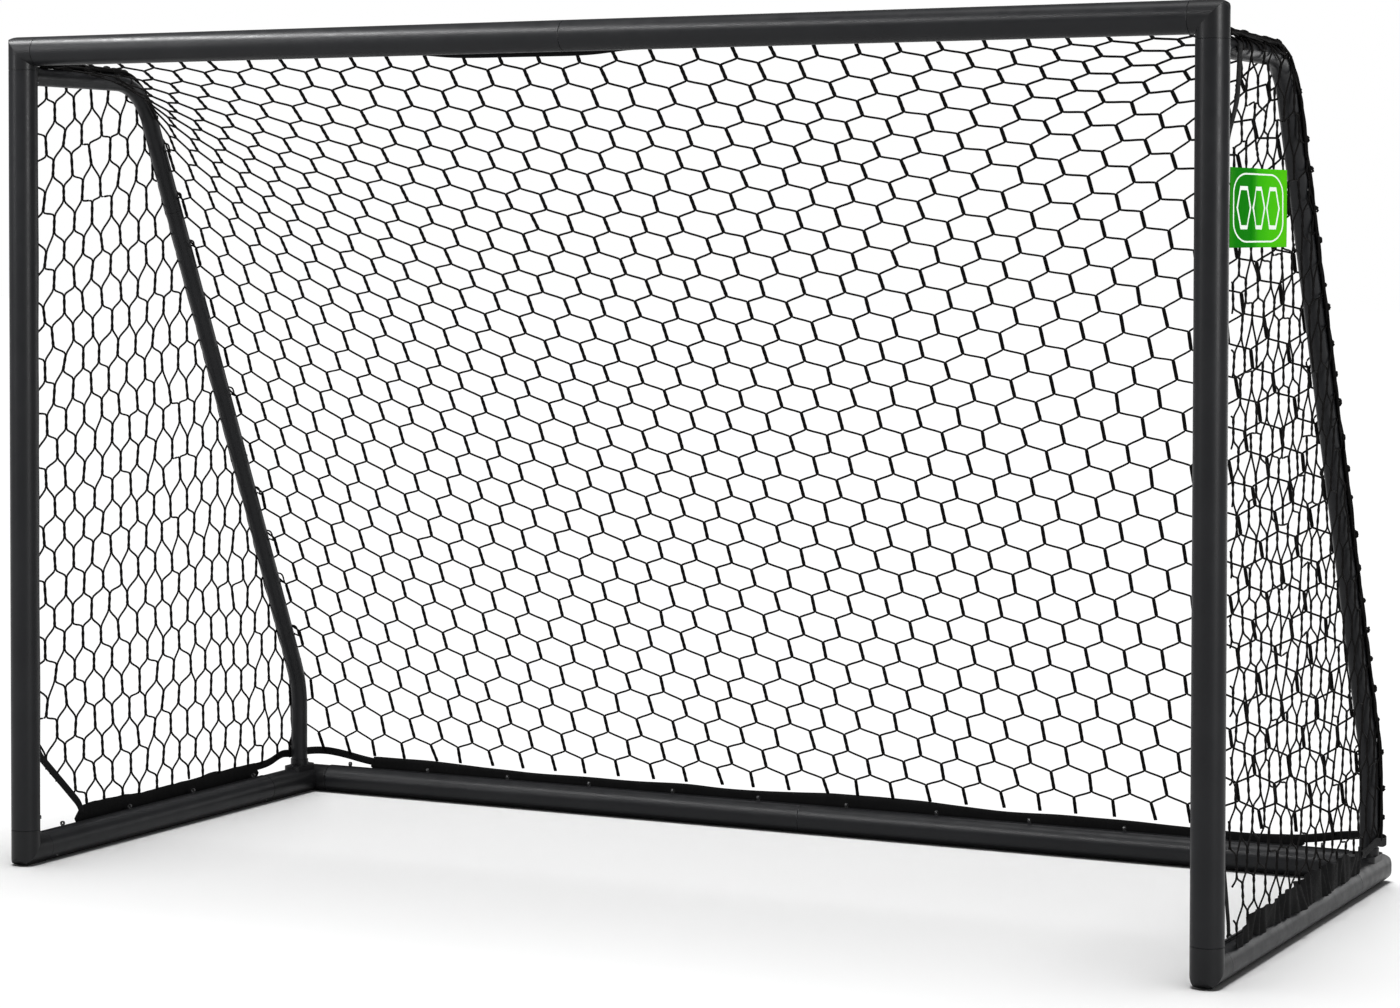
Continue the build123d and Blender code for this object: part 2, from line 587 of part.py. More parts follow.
side_outline = [(NET_FRONT_Y, HEM_HIGH + NET_GAP), (NET_FRONT_Y, SUPPORT_Z + SUPPORT_R)]
side_outline += outer_path(SUPPORT_R)[1:]
side_outline += [(UPRIGHT_Y + SUPPORT_R, HEM_HIGH + NET_GAP)]
strap_y = NET_FRONT_Y - STRAP_WIDTH
for side, sign in SIDES:
    hem_y = HEM_FRONT_Y[sign]
    edge_line = [(strap_y, SUPPORT_Z - BRACKET_R - 2 * NET_GAP), (strap_y, STRAP_TURN_Z),
                 (hem_y - STRAP_WIDTH, HEM_HIGH + 2 * NET_GAP)]
    with BuildPart() as net_side:
        with BuildSketch(Plane.YZ.offset(sign * NET_SIDE_X)):
            with BuildLine():
                Polyline(*side_outline, close=True)
            make_face()
        extrude(amount=NET_THICK / 2, both=True)
    save(net_side, f"net_{side}")

    with BuildPart() as hem:
        with BuildSketch(Plane.YZ.offset(sign * NET_SIDE_X)):
            with Locations(((hem_y + UPRIGHT_Y) / 2, (HEM_LOW + HEM_HIGH) / 2)):
                Rectangle(UPRIGHT_Y - hem_y, HEM_HIGH - HEM_LOW)
        extrude(amount=HEM_THICK / 2, both=True)
    save(hem, f"hem_{side}")

    with BuildPart() as strap:
        with BuildSketch(Plane.YZ.offset(sign * STRAP_X)):
            with BuildLine():
                Polyline(*[(y + dy, z) for dy, row in ((0, edge_line), (STRAP_WIDTH, edge_line[::-1]))
                           for y, z in row], close=True)
            make_face()
        extrude(amount=STRAP_THICK / 2, both=True)
    save(strap, f"edge_strap_{side}")

with BuildPart() as hem_rear:
    with BuildSketch(Plane.XY.offset(HEM_LOW)):
        with Locations((0, NET_FOOT[0] + NET_THICK / 2)):
            Rectangle(2 * HEM_REAR_X, HEM_THICK)
    extrude(amount=HEM_HIGH - HEM_LOW - NET_GAP)
save(hem_rear, "hem_rear")

with BuildPart() as top_strap:
    with BuildSketch(Plane.XY.offset(NET_TOP[1] - STRAP_WIDTH / 2)):
        with Locations((0, NET_TOP[0] - NET_THICK - STRAP_THICK / 2)):
            Rectangle(2 * HEM_REAR_X, STRAP_THICK)
    extrude(amount=STRAP_WIDTH)
save(top_strap, "edge_strap_top")

with BuildPart() as banner:
    with BuildSketch(Plane.YZ.offset(NET_SIDE_X + NET_THICK)):
        with Locations((BANNER_FRONT_Y + BANNER_LENGTH / 2, BANNER_LOW_Z + BANNER_HEIGHT / 2)):
            Rectangle(BANNER_LENGTH, BANNER_HEIGHT)
    extrude(amount=BANNER_THICK)
save(banner, "side_banner")
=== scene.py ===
"""Soccer goal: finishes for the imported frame's tubes and fittings, and its net, webbing and banner.

Metres. The mouth faces -Y, the net's depth runs to +Y, and the crossbar lies along X.
"""
from math import cos, pi, radians, sin, tan

import bpy
import numpy as np
from mathutils import Matrix, Vector


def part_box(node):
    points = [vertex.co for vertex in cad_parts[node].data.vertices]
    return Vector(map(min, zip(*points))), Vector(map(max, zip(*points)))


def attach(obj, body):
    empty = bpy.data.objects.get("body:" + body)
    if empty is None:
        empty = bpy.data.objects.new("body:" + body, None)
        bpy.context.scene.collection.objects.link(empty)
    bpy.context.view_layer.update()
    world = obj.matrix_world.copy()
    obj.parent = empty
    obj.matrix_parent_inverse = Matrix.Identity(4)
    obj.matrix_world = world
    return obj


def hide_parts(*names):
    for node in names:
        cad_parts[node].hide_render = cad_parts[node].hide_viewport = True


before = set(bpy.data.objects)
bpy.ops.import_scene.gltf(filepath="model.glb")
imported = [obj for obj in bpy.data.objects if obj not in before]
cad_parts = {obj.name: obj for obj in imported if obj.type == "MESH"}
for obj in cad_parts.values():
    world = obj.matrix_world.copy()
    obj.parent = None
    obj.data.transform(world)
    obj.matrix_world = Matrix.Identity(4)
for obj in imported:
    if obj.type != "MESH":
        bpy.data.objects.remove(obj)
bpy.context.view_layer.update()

rng = np.random.default_rng(11)
SIDES = (("left", -1), ("right", 1))
BODY = "frame"

# ---- camera ----
CAMERA_AT = (3.5884, -7.6516, 1.5311)
CAMERA_YAW = radians(28.577)
CAMERA_PITCH = radians(-1.675)
CAMERA_ROLL = radians(0.010)
CAMERA_LENS = 91.22
CAMERA_SHIFT = (0.1583, -0.1200)
VIEW_GAMMA = 0.88
SURROUND = 0.19          # strength of the white surroundings as light
OVERHEAD = 3.14          # the overhead light's strength
OVERHEAD_ANGLE = radians(28)
STRIP_TURN = radians(-61)  # the strip lights run from the back left to the front
STRIP_HEIGHT = 4.7

# ---- places read from the frame ----


def middle(node):
    """Centre of a CAD node's box."""
    low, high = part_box(node)
    return (low + high) / 2


POST_X = middle("post_right").x
FRONT_Y = middle("post_right").y
UPRIGHT_Y = middle("upright_socket_right").y
SUPPORT_Z = middle("support_bracket_right").z
SUPPORT_R = (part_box("support_lower_right")[1].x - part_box("support_lower_right")[0].x) / 2
HEM_LOW, HEM_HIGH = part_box("hem_rear")[0].z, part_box("hem_rear")[1].z
HEM_REAR_Y = middle("hem_rear").y
STRAP_TOP_Y = middle("edge_strap_top").y
STRAP_TOP_Z = middle("edge_strap_top").z
SIDE_X = middle("net_right").x
HEM_FRONT_Y = {-1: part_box("hem_left")[0].y, 1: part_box("hem_right")[0].y}

# ---- the bent support's centre line, in the side plane ----
SUPPORT_KNEE_Y = FRONT_Y + 0.500
UPRIGHT_KNEE_Z = 0.298
UPPER_BEND_R = 0.165
LOWER_BEND_R = 0.280
PATH_STEP = 0.006

# ---- net ----
TWINE_R = 0.0024
SIDE_TWINE_R = {-1: 0.0025, 1: 0.0021}
LEG_SPREAD = 0.80         # how far a leg's two twines lie apart, in twine radii each way
LEG_WEAVE = 0.30          # how far they weave in and out of the net's plane, in twine radii
LEG_STEPS = 6
SLANT_STEPS = 4
BACK_CURL = 0.42          # how far the slants of the back keep the legs' direction
SIDE_CURL = 0.60
REACH = SUPPORT_R + TWINE_R + 0.0004
ROWS = 34
COLUMNS = 32
EDGE_X = POST_X + 0.007
CROWDING = 0.05           # how much closer the columns stand at the supports than in the middle
LEG_PULL = 1.29           # a leg's pull as a share of a slant's
LEG_SHARE = 0.58          # a pinned leg's length as a share of a row
ROOF_ROWS = 7.5
ROOF_FIRST_S = 0.012
ROOF_LAST_S = 0.50
SIDE_ROWS = 31
SIDE_HALF_COLUMNS = 38
SIDE_PITCH = 0.084
SIDE_CROWDING = 0.003
SIDE_ROW = 0.068
SIDE_LEG = 0.60
SIDE_FAN = 0.11           # how much taller the rows get towards the back, per metre
SIDE_SWAY = 0.006
GATHER_STRANDS = 15
GATHER_STEPS = 520
HITCH_PITCH = 0.082
HITCH_R = 0.0080
HITCH_TURNS = 1.8
HITCH_STEPS = 22
LOOP_STEPS = 15
LOOP_SKIP = 0.35          # share of the places for a loose loop that have none
BUNCH_TOP = radians(84)   # where the bunched edge lies on the support's level run and bend
BUNCH_SLOPE = radians(34)  # and where on its slope

# ---- hems and straps ----
HEM_THICK = 0.0022
HEM_STEPS = 260
HEM_RUFFLE = {-1: 0.0008, 1: 0.0026}
HEM_RUFFLE_PITCH = 0.043
HEM_CRUMPLE = {-1: 0.02, 1: 0.14}
REAR_HEM_HALF = 1.285
SIDE_HEM_END_Y = 0.425
STRAP_WIDTH = 0.020
STRAP_THICK = 0.0018
CORNER_BEND_R = 0.045
CORNER_TOP_Z = 0.112
CORNER_LIFT = 0.012
STRAP_SAG = 0.011
STRAP_SAG_X = -0.13
STRAP_SAG_HALF = 0.23
STRAP_Y = FRONT_Y + 0.063
STRAP_BEND_Z = 0.26
STRAP_LEAN_Z = 1.70
STRAP_LEAN = {-1: 0.016, 1: 0.030}
TOP_STRAP_STEPS = 200

# ---- banner ----
# Green print along the banner with painted shade and light: darker from near the front edge to about a
# third of the way back, as a crease's painted shade, and lighter towards the back, as painted light.
BANNER_GREENS_PAINTED_SHADE = (
    (0.0, (0.014, 0.190, 0.003)), (0.12, (0.003, 0.160, 0.001)), (0.36, (0.003, 0.170, 0.001)),
    (0.50, (0.034, 0.330, 0.002)), (0.70, (0.052, 0.390, 0.002)), (1.0, (0.075, 0.410, 0.003)),
)
BANNER_COLUMNS, BANNER_ROWS = 90, 40
BANNER_CREASE = 0.0030
BANNER_CREASE_Y = 0.17    # from the front edge
BANNER_SQUEEZE = 0.45     # the pale outline is drawn in a space this much shorter along the banner
BANNER_BORDER = 0.012     # the outline's distance from the rim, in that space
BANNER_CORNER = 0.040
BANNER_LINE = 0.0036
HEXAGON_LINE = 0.0085
BANNER_HEM = 0.010
BANNER_HEM_THICK = 0.0006
BANNER_STITCH = 0.006     # the seam's distance from the rim
STITCH_PITCH = 0.005
HEXAGON_R = 0.040         # middle to flat
HEXAGON_PITCH = 0.108


# ---- small helpers ----
def unit(vectors):
    """Vectors scaled to length one along the last axis."""
    return vectors / np.maximum(np.linalg.norm(vectors, axis=-1, keepdims=True), 1e-12)


def smooth_noise(count, spread, size):
    """One smooth random line: white noise blurred over about spread samples."""
    raw = rng.normal(size=count + 6 * spread)
    window = np.exp(-0.5 * (np.arange(-3 * spread, 3 * spread + 1) / spread) ** 2)
    line = np.convolve(raw, window / np.sqrt((window ** 2).sum()), mode="valid")
    return size * line[:count]


def rounded_path(corners, radii, step):
    """Points along straight runs joined by tangent arcs, in a plane."""
    points = [np.array(corners[0], float)]
    for before, corner, after, radius in zip(corners, corners[1:], corners[2:], radii):
        before, corner, after = (np.array(p, float) for p in (before, corner, after))
        into, out = unit(corner - before), unit(after - corner)
        turn = np.arccos(np.clip(into @ out, -1, 1))
        start = corner - into * radius * tan(turn / 2)
        side = np.sign(into[0] * out[1] - into[1] * out[0])
        centre = start + side * radius * np.array([-into[1], into[0]])
        for angle in np.linspace(0, turn, max(2, int(radius * turn / step))):
            spun = side * angle
            arm = start - centre
            points.append(centre + np.array([arm[0] * cos(spun) - arm[1] * sin(spun),
                                             arm[0] * sin(spun) + arm[1] * cos(spun)]))
    points.append(np.array(corners[-1], float))
    points = np.array(points)
    along = np.concatenate([[0], np.cumsum(np.linalg.norm(np.diff(points, axis=0), axis=1))])
    even = np.linspace(0, along[-1], int(along[-1] / step) + 1)
    return np.stack([np.interp(even, along, points[:, k]) for k in (0, 1)], axis=1), even


support, support_s = rounded_path(
    [(FRONT_Y + 0.040, SUPPORT_Z), (SUPPORT_KNEE_Y, SUPPORT_Z), (UPRIGHT_Y, UPRIGHT_KNEE_Z),
     (UPRIGHT_Y, HEM_LOW)], [UPPER_BEND_R, LOWER_BEND_R], PATH_STEP)
support_tangent = unit(np.gradient(support, axis=0))
support_normal = np.stack([-support_tangent[:, 1], support_tangent[:, 0]], axis=1)


def on_support(s, angle, side, reach=REACH):
    """Points round the support: angle 0 is its outer side, 90 degrees is its back and top."""
    s, angle = np.broadcast_arrays(np.asarray(s, float), np.asarray(angle, float))
    y, z, ny, nz = (np.interp(s, support_s, column) for column in
                    (support[:, 0], support[:, 1], support_normal[:, 0], support_normal[:, 1]))
    out, back = reach * np.cos(angle), reach * np.sin(angle)
    return np.stack([side * (POST_X + out), y + ny * back, z + nz * back], axis=-1)


def nearest_on_support(y, z):
    """Arc length and signed distance to the support's centre line, positive inside the side panel."""
    flat = np.stack([np.ravel(y), np.ravel(z)], axis=1)
    best = np.empty(len(flat), int)
    for first in range(0, len(flat), 4000):
        part = flat[first:first + 4000]
        best[first:first + 4000] = ((part[:, None] - support[None]) ** 2).sum(-1).argmin(1)
    offset = flat - support[best]
    beyond = (offset * support_normal[best]).sum(1)
    return support_s[best].reshape(np.shape(y)), -beyond.reshape(np.shape(y))


def clear_of_supports(points, reach=REACH):
    """Points moved out of the two support tubes, where they would lie inside one."""
    y, z = points[..., 1], points[..., 2]
    side = np.sign(points[..., 0])
    s, inside = nearest_on_support(y, z)
    across = np.abs(points[..., 0]) - POST_X
    away = np.hypot(across, inside)
    push = np.where(away < reach, reach / np.maximum(away, 1e-6), 1.0)
    ny, nz = (np.interp(s, support_s, support_normal[:, k]) for k in (0, 1))
    shift = -inside * (push - 1)
    moved = points.copy()
    moved[..., 0] = side * (POST_X + across * push)
    moved[..., 1] = y + ny * shift
    moved[..., 2] = z + nz * shift
    return moved


def mesh_object(name, vertices, faces, material, uv=None):
    """A smooth mesh object with one material."""
    mesh = bpy.data.meshes.new(name)
    mesh.from_pydata(vertices, [], faces)
    mesh.polygons.foreach_set("use_smooth", [True] * len(mesh.polygons))
    if uv is not None:
        layer = mesh.uv_layers.new(name="strand")
        layer.data.foreach_set("uv", np.asarray(uv, np.float32).ravel())
    mesh.materials.append(material)
    mesh.update()
    made = bpy.data.objects.new(name, mesh)
    bpy.context.scene.collection.objects.link(made)
    return made


def strands(name, paths, material, sides=6, closed=False):
    """Tubes along the paths, each (points, radius or radii, direction across), in one mesh."""
    vertices, faces, uv = [], [], []
    count = 0
    angles = 2 * pi * np.arange(sides) / sides
    for points, radius, across in paths:
        points = np.asarray(points, float)
        rings = len(points)
        if closed:
            tangent = unit(np.roll(points, -1, axis=0) - np.roll(points, 1, axis=0))
        else:
            tangent = unit(np.gradient(points, axis=0))
        first = unit(np.cross(tangent, across))
        second = np.cross(first, tangent)
        radii = np.broadcast_to(radius, rings)[:, None, None]
        ring = points[:, None] + radii * (first[:, None] * np.cos(angles)[:, None]
                                          + second[:, None] * np.sin(angles)[:, None])
        vertices.append(ring.reshape(-1, 3))
        along = np.concatenate([[0], np.cumsum(np.linalg.norm(np.diff(points, axis=0), axis=1))])
        last = rings if closed else rings - 1
        i = np.repeat(np.arange(last), sides)
        k = np.tile(np.arange(sides), last)
        after, turned = (i + 1) % rings, (k + 1) % sides
        quads = np.stack([i * sides + k, i * sides + turned, after * sides + turned,
                          after * sides + k], axis=1) + count
        faces.extend(quads.tolist())
        u, v = k / sides, along[i]
        v_next = v + PATH_STEP if closed else along[np.minimum(i + 1, rings - 1)]
        uv.append(np.stack([u, v, u + 1 / sides, v, u + 1 / sides, v_next, u, v_next], axis=1).ravel())
        if not closed:
            faces.append((count + np.arange(sides)[::-1]).tolist())
            faces.append((count + (rings - 1) * sides + np.arange(sides)).tolist())
            uv.append(np.zeros(4 * sides))
        count += rings * sides
    return mesh_object(name, np.concatenate(vertices).tolist(), faces, material, np.concatenate(uv))


def ribbon(name, centre, across, width, thick, material):
    """A flat band with soft edges along a line; width may change along it."""
    centre, across = np.asarray(centre, float), unit(np.asarray(across, float))
    tangent = unit(np.gradient(centre, axis=0))
    normal = unit(np.cross(tangent, across))
    across = np.cross(normal, tangent)
    rings = len(centre)
    half = np.broadcast_to(width, rings)[:, None] / 2
    soft = thick * 0.35
    section = [(1, 0, -0.2), (1, 0, 0.2), (1, -soft, 0.5), (0.33, 0, 0.5), (-0.33, 0, 0.5), (-1, soft, 0.5),
               (-1, 0, 0.2), (-1, 0, -0.2), (-1, soft, -0.5), (-0.33, 0, -0.5), (0.33, 0, -0.5),
               (1, -soft, -0.5)]
    ring = np.stack([centre + across * (share * half + inset) + normal * thick * rise
                     for share, inset, rise in section], axis=1)
    sides = len(section)
    i = np.repeat(np.arange(rings - 1), sides)
    k = np.tile(np.arange(sides), rings - 1)
    turned = (k + 1) % sides
    faces = np.stack([i * sides + k, i * sides + turned, (i + 1) * sides + turned, (i + 1) * sides + k],
                     axis=1).tolist()
    faces.append(list(range(sides))[::-1])
    faces.append([(rings - 1) * sides + j for j in range(sides)])
    along = np.concatenate([[0], np.cumsum(np.linalg.norm(np.diff(centre, axis=0), axis=1))])
    share = np.array([part[0] for part in section])
    uv = np.stack([along[i], share[k], along[i], share[turned], along[i + 1], share[turned],
                   along[i + 1], share[k]], axis=1).ravel()
    uv = np.concatenate([uv, np.zeros(4 * sides)])
    return mesh_object(name, ring.reshape(-1, 3).tolist(), faces, material, uv)


# ---- materials ----
class Nodes:
    """A material's node tree with short ways to add and join nodes."""

    def __init__(self, name, **sockets):
        self.material = bpy.data.materials.new(name)
        self.material.use_nodes = True
        self.tree = self.material.node_tree
        self.shader = self.tree.nodes["Principled BSDF"]
        for socket, value in sockets.items():
            self.shader.inputs[socket.replace("_", " ")].default_value = value

    def add(self, kind, **settings):
        """Add one node; settings that name an input set it, the others set attributes."""
        node = self.tree.nodes.new(kind)
        for key, value in settings.items():
            if key.replace("_", " ") in node.inputs:
                node.inputs[key.replace("_", " ")].default_value = value
            else:
                setattr(node, key, value)
        return node

    def link(self, source, target):
        """Join two sockets."""
        self.tree.links.new(source, target)

    def place(self):
        """Coordinates in metres on the object."""
        return self.add("ShaderNodeTexCoord").outputs["Object"]

    def strand_uv(self):
        """Coordinates along and round a strand or band."""
        return self.add("ShaderNodeUVMap", uv_map="strand").outputs["UV"]

    def noise(self, at, scale, detail=2.0, roughness=0.5):
        """Noise value at a place."""
        node = self.add("ShaderNodeTexNoise", Scale=scale, Detail=detail, Roughness=roughness)
        self.link(at, node.inputs["Vector"])
        return node.outputs["Fac"]

    def math(self, operation, *values):
        """A Math node's result; each value is a socket or a number."""
        node = self.add("ShaderNodeMath", operation=operation)
        for slot, value in zip(node.inputs, values):
            if isinstance(value, (int, float)):
                slot.default_value = value
            else:
                self.link(value, slot)
        return node.outputs["Value"]

    def ramp(self, value, stops):
        """Colour ramp through (position, colour) stops."""
        node = self.add("ShaderNodeValToRGB")
        while len(node.color_ramp.elements) < len(stops):
            node.color_ramp.elements.new(0.5)
        for element, (position, colour) in zip(node.color_ramp.elements, stops):
            element.position = position
            element.color = (*colour, 1) if len(colour) == 3 else colour
        self.link(value, node.inputs["Fac"])
        return node.outputs["Color"]

    def span(self, value, low, high, to_low, to_high):
        """Map a value's range to another."""
        node = self.add("ShaderNodeMapRange", From_Min=low, From_Max=high, To_Min=to_low, To_Max=to_high)
        self.link(value, node.inputs["Value"])
        return node.outputs["Result"]

    def bump(self, height, strength, distance, under=None):
        """Bump from a height; under is a bump that it lies on."""
        node = self.add("ShaderNodeBump", Strength=strength, Distance=distance)
        self.link(height, node.inputs["Height"])
        if under is not None:
            self.link(under, node.inputs["Normal"])
        return node.outputs["Normal"]

    def to(self, socket, value):
        """Feed one of the shader's sockets."""
        self.link(value, self.shader.inputs[socket])


def powder_coat(name, dark, light, rough):
    """Matte powder coat: fine orange peel, faint blotches and handling marks."""
    m = Nodes(name, IOR=1.5, Specular_IOR_Level=0.26)
    at = m.place()
    blotch = m.noise(at, 7, 4, 0.6)
    m.to("Base Color", m.ramp(blotch, [(0.3, dark), (0.7, light)]))
    m.to("Roughness", m.span(m.noise(at, 24, 6, 0.7), 0.3, 0.7, rough - 0.05, rough + 0.07))
    peel = m.bump(m.noise(at, 900, 2), 0.10, 0.0004)
    m.to("Normal", m.bump(m.noise(at, 190, 3), 0.07, 0.0008, peel))
    return m.material


def metal(name, colour, rough, scale=420):
    """Plain metal with fine brushed variation."""
    m = Nodes(name, Metallic=1.0)
    at = m.place()
    m.to("Base Color", m.ramp(m.noise(at, 60, 4), [(0.3, [0.8 * c for c in colour]), (0.7, colour)]))
    m.to("Roughness", m.span(m.noise(at, scale, 3), 0.3, 0.7, rough - 0.06, rough + 0.1))
    m.to("Normal", m.bump(m.noise(at, 1500, 2), 0.05, 0.0002))
    return m.material


def moulded(name, colour, rough):
    """Moulded plastic with a fine grain."""
    m = Nodes(name, IOR=1.47)
    at = m.place()
    lighter = [1.5 * c for c in colour]
    m.to("Base Color", m.ramp(m.noise(at, 90, 3), [(0.35, colour), (0.75, lighter)]))
    m.to("Roughness", m.span(m.noise(at, 300, 2), 0.3, 0.7, rough - 0.05, rough + 0.08))
    m.to("Normal", m.bump(m.noise(at, 2200, 2), 0.12, 0.0002))
    return m.material


def twine(name, colour):
    """Braided polyester twine: crossed plies round the strand, with a little fuzz."""
    m = Nodes(name, IOR=1.45, Specular_IOR_Level=0.12)
    uv = m.strand_uv()
    at = m.place()
    plies = []
    for turn in (-1, 1):
        mapped = m.add("ShaderNodeMapping", Rotation=(0, 0, turn * 0.9), Scale=(2.0, 420.0, 1.0))
        m.link(uv, mapped.inputs["Vector"])
        wave = m.add("ShaderNodeTexWave", Scale=0.6, Distortion=0.6)
        m.link(mapped.outputs["Vector"], wave.inputs["Vector"])
        plies.append(wave.outputs["Fac"])
    top = m.math("MAXIMUM", *plies)
    faded = [2.2 * c for c in colour]
    m.to("Base Color", m.ramp(m.noise(at, 35, 4), [(0.3, colour), (0.75, faded)]))
    m.to("Roughness", m.span(m.noise(at, 500, 2), 0.3, 0.7, 0.62, 0.8))
    fuzz = m.bump(m.noise(at, 2600, 2), 0.15, 0.0002)
    m.to("Normal", m.bump(top, 0.35, 0.0003, fuzz))
    return m.material


def webbing(name, colour, rough=0.72):
    """Woven band: ribs across it, a woven grain, and soft wear."""
    m = Nodes(name, IOR=1.45, Specular_IOR_Level=0.16)
    uv = m.strand_uv()
    at = m.place()
    ribs = m.add("ShaderNodeTexWave", Scale=210.0, Distortion=0.2)
    m.link(uv, ribs.inputs["Vector"])
    mapped = m.add("ShaderNodeMapping", Rotation=(0, 0, pi / 2), Scale=(1.0, 6.0, 1.0))
    m.link(uv, mapped.inputs["Vector"])
    rows = m.add("ShaderNodeTexWave", Scale=1.4, Distortion=0.3)
    m.link(mapped.outputs["Vector"], rows.inputs["Vector"])
    lighter = [1.9 * c for c in colour]
    m.to("Base Color", m.ramp(m.noise(at, 30, 5), [(0.3, colour), (0.75, lighter)]))
    m.to("Roughness", m.span(m.noise(at, 200, 3), 0.3, 0.7, rough - 0.08, rough + 0.08))
    grain = m.bump(ribs.outputs["Fac"], 0.30, 0.0004)
    m.to("Normal", m.bump(rows.outputs["Fac"], 0.22, 0.0004, grain))
    return m.material


COAT = powder_coat("tube_coat", (0.0090, 0.0093, 0.0105), (0.0124, 0.0128, 0.0142), 0.37)
ELBOW_COAT = powder_coat("elbow_coat", (0.0090, 0.0092, 0.0100), (0.0122, 0.0125, 0.0135), 0.37)
BRACKET_COAT = powder_coat("bracket_coat", (0.0076, 0.0078, 0.0086), (0.0104, 0.0107, 0.0116), 0.35)
ALUMINIUM = metal("joiner_aluminium", (0.72, 0.73, 0.74), 0.34)
BUTTON_STEEL = metal("button_steel", (0.62, 0.62, 0.60), 0.26)
SPRING_STEEL = metal("spring_steel", (0.50, 0.51, 0.53), 0.32)
SCREW_STEEL = metal("screw_steel", (0.10, 0.10, 0.105), 0.38)
CLIP_PLASTIC = moulded("clip_plastic", (0.020, 0.020, 0.021), 0.30)
TWINE = twine("net_twine", (0.0022, 0.0019, 0.0019))
HEM_CLOTH = webbing("hem_webbing", (0.0026, 0.0026, 0.0028))
STRAP_CLOTH = webbing("strap_webbing", (0.0032, 0.0032, 0.0034), 0.70)

CAD_FINISH = (
    (("crossbar_joiner", "rear_rail_joiner"), ALUMINIUM),
    (("top_elbow", "bottom_elbow", "rear_corner"), ELBOW_COAT),
    (("support_bracket", "upright_socket"), BRACKET_COAT),
    (("clips",), CLIP_PLASTIC),
    (("_button",), BUTTON_STEEL),
    (("_spring",), SPRING_STEEL),
    (("screws", "bolts", "nuts"), SCREW_STEEL),
    (("crossbar", "post", "rail", "support"), COAT),
)


def finish_cad():
    """Give every CAD piece that stays its material."""
    for name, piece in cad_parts.items():
        material = next((m for words, m in CAD_FINISH if any(word in name for word in words)), COAT)
        for slot in piece.material_slots:
            slot.material = material
        if not piece.material_slots:
            piece.data.materials.append(material)


# ---- net lattice ----
def column_x(h):
    """X of half column h at the straps: the columns crowd a little towards the supports."""
    share = h / COLUMNS - 1
    return EDGE_X * share * (1 + CROWDING - CROWDING * share ** 4)


def row_s(row):
    """Arc length where a row of the back meets a support: long rows on the roof, even ones below it."""
    return np.interp(row, [0, ROOF_ROWS, ROWS], [ROOF_FIRST_S, ROOF_LAST_S, support_s[-1] - 0.045])


def solve_back():
    """Tops and bottoms of the back net's legs, in equilibrium between its edges.

    Row r holds a leg at every half column h where h - r is even; columns -1 and 2 C + 1 lie on the
    supports' outer sides.
    """
    half_columns = 2 * COLUMNS + 3
    tops = np.full((ROWS, half_columns, 3), np.nan)
    bottoms = tops.copy()
    index, pinned = {}, {}
    for r in range(ROWS):
        for h in range(-1, 2 * COLUMNS + 2):
            if (h - r) % 2:
                continue
            for end in (0, 1):
                key = (r, h, end)
                if h in (-1, 0, 2 * COLUMNS, 2 * COLUMNS + 1):
                    side = -1 if h <= 0 else 1
                    angle = radians(72 if h in (0, 2 * COLUMNS) else 5) + rng.normal() * 0.10
                    at = row_s(r + LEG_SHARE * end + 0.15) + rng.normal() * 0.004
                    pinned[key] = on_support(at, angle, side)
                elif r == 0 and end == 0:
                    x = column_x(h) + rng.normal() * 0.006
                    pinned[key] = np.array([x, STRAP_TOP_Y, STRAP_TOP_Z - 0.004])
                elif r == ROWS - 1 and end == 1:
                    x = column_x(h) + rng.normal() * 0.004
                    pinned[key] = np.array([x, HEM_REAR_Y, HEM_HIGH - 0.004])
                else:
                    index[key] = len(index)
    stiff = np.zeros((len(index), len(index)))
    force = np.zeros((len(index), 3))

    def tie(one, two, pull):
        """Add a pull between two leg ends, weaker where the columns crowd."""
        share = (one[1] + two[1]) / 2 / COLUMNS - 1
        pull = pull / (1 + CROWDING - 5 * CROWDING * min(share ** 4, 1))
        for a, b in ((one, two), (two, one)):
            if a in index:
                stiff[index[a], index[a]] += pull
                if b in index:
                    stiff[index[a], index[b]] -= pull
                else:
                    force[index[a]] += pull * pinned[b]

    known = set(index) | set(pinned)
    for r, h, end in sorted(known):
        if end == 0:
            tie((r, h, 0), (r, h, 1), LEG_PULL * (1 + 0.08 * rng.normal()))
        else:
            for near in (h - 1, h + 1):
                if (r + 1, near, 0) in known:
                    tie((r, h, 1), (r + 1, near, 0), 1 + 0.06 * rng.normal())
    solved = np.linalg.solve(stiff, force)
    for (r, h, end), at in index.items():
        (tops, bottoms)[end][r, h + 1] = solved[at]
    for (r, h, end), at in pinned.items():
        (tops, bottoms)[end][r, h + 1] = at
    return tops, bottoms


